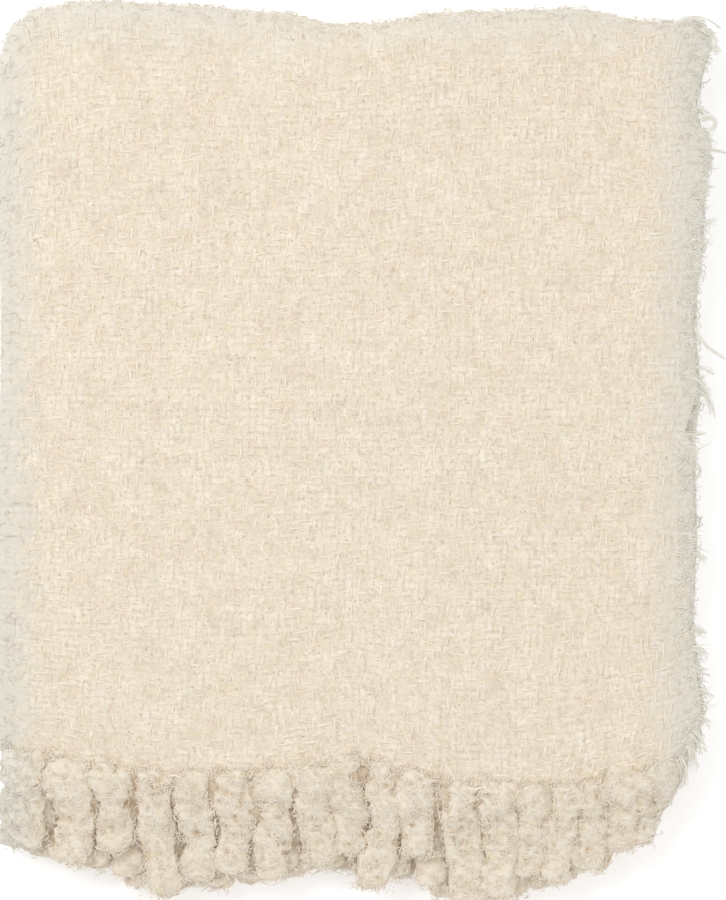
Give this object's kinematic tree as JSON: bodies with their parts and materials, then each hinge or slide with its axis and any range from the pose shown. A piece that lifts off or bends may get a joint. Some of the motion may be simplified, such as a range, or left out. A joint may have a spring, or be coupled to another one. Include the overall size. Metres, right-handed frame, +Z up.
{
  "type": "throw blanket",
  "caption": "Brushed twill throw blanket folded into a soft rectangular stack, with a fringe of thick twisted tassels along the near side.",
  "frame": {"origin": "centre of the whole outline, tassels included, on the surface that the folded throw lies on", "axes": "+Z up from the underside; +Y along the stack's longer side, away from the tassels; +X across it, towards the uppermost panel's selvedge"},
  "size_m": [0.4456, 0.5636, 0.0425],
  "materials": {
    "cloth": "brushed, matt",
    "fringe": "curly, matt"
  },
  "bodies": {
    "root": {"throw": "cloth", "fringe_top": "fringe", "fringe_second": "fringe"}
  },
  "joints": []
}
